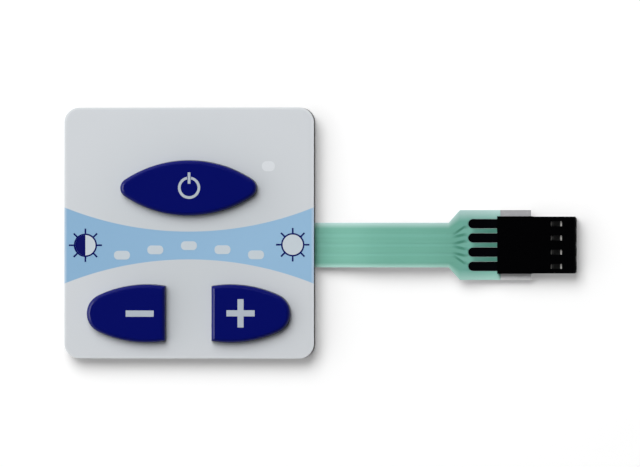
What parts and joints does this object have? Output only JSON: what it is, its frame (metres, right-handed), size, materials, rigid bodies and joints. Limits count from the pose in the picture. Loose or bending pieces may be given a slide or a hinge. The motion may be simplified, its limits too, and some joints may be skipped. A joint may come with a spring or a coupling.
{
  "type": "membrane keypad",
  "caption": "Flat square membrane keypad with raised sprung keys on a printed panel, light windows, a flat film tail and a female pin receptacle.",
  "frame": {"origin": "centre of the panel's rear face", "axes": "+Z out of the keys, +X along the tail towards the receptacle, +Y towards the power key"},
  "size_m": [0.092, 0.045, 0.0042],
  "materials": {
    "overlay_print": "fine satin",
    "key_blue": "satin",
    "panel_plastic": "matte",
    "adhesive": "matte",
    "spacer_film": "matte",
    "clear_film": "gloss",
    "silver_ink": "matte",
    "green_print": "satin",
    "carbon_ink": "matte",
    "spring_steel": "polished",
    "black_nylon": "satin",
    "tinned_metal": "bright"
  },
  "bodies": {
    "panel": {"backing_plate": "panel_plastic", "plate_adhesive": "adhesive", "circuit_film": "clear_film", "silver_tracks": "silver_ink", "insulation": "green_print", "carbon_pads": "carbon_ink", "dome_spacer": "spacer_film", "power_dome": "spring_steel", "minus_dome": "spring_steel", "plus_dome": "spring_steel", "key_spacer": "spacer_film", "overlay_adhesive": "adhesive", "overlay": "overlay_print", "receptacle": "black_nylon", "contact_1": "tinned_metal", "contact_2": "tinned_metal", "contact_3": "tinned_metal", "contact_4": "tinned_metal"},
    "power_button": {"power_key": "key_blue"},
    "minus_button": {"minus_key": "key_blue"},
    "plus_button": {"plus_key": "key_blue"}
  },
  "joints": [
    {"name": "power_press", "type": "slide", "parent": "panel", "child": "power_button", "axis": [0, 0, -1], "range_m": [0, 0.0003], "stiffness_N_per_m": 8000, "deforming": ["power_dome"]},
    {"name": "minus_press", "type": "slide", "parent": "panel", "child": "minus_button", "axis": [0, 0, -1], "range_m": [0, 0.0003], "stiffness_N_per_m": 8000, "deforming": ["minus_dome"]},
    {"name": "plus_press", "type": "slide", "parent": "panel", "child": "plus_button", "axis": [0, 0, -1], "range_m": [0, 0.0003], "stiffness_N_per_m": 8000, "deforming": ["plus_dome"]}
  ]
}
